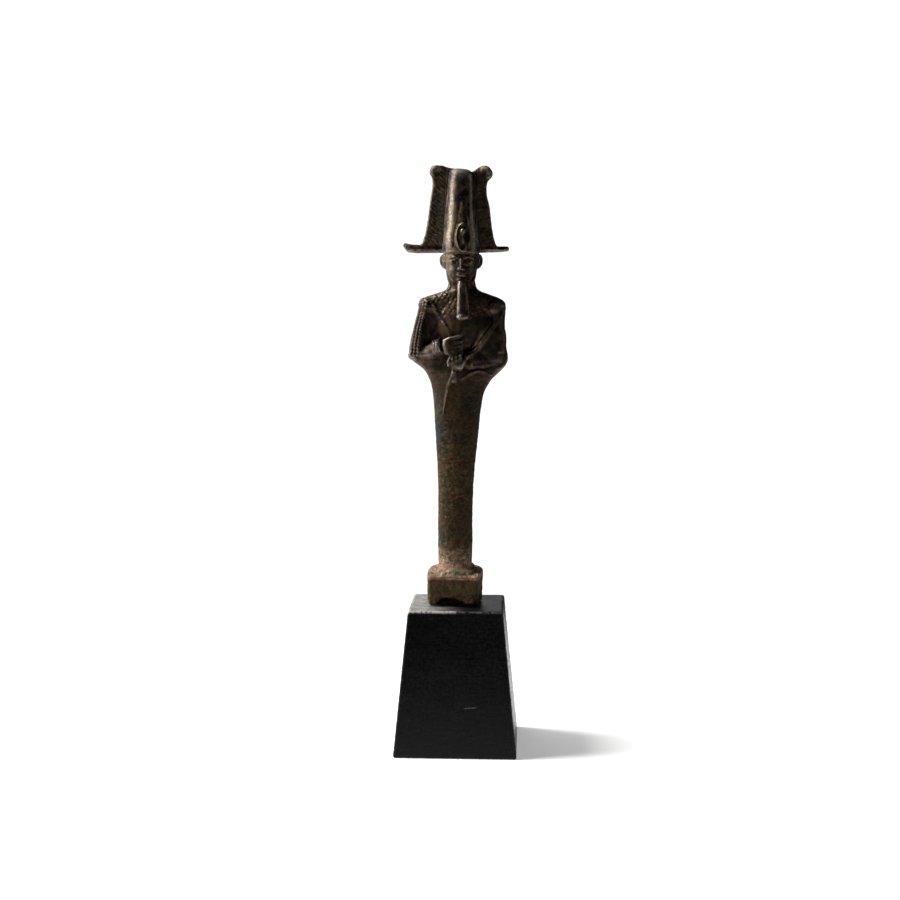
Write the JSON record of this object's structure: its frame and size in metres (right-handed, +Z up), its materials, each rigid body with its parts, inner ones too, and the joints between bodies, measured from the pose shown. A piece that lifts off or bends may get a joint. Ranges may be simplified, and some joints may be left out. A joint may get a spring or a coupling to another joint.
{
  "type": "bronze osiris figure on a plinth",
  "caption": "Small cast bronze figure of a wrapped, standing Osiris with crook, flail and feathered crown, on a tapered black wooden plinth.",
  "frame": {"origin": "centre of the plinth's square underside", "axes": "+Z up, the figure faces -Y, +X to a viewer's right when facing it"},
  "size_m": [0.0418, 0.0418, 0.1996],
  "materials": {
    "patinated_bronze": "dark brown patina with worn highlights, earthy and green corrosion on legs and base block",
    "black_painted_wood": "satin black paint, faintly grained and a little worn along its edges"
  },
  "bodies": {
    "root": {"osiris_figure": "patinated_bronze", "plinth": "black_painted_wood"}
  },
  "joints": []
}
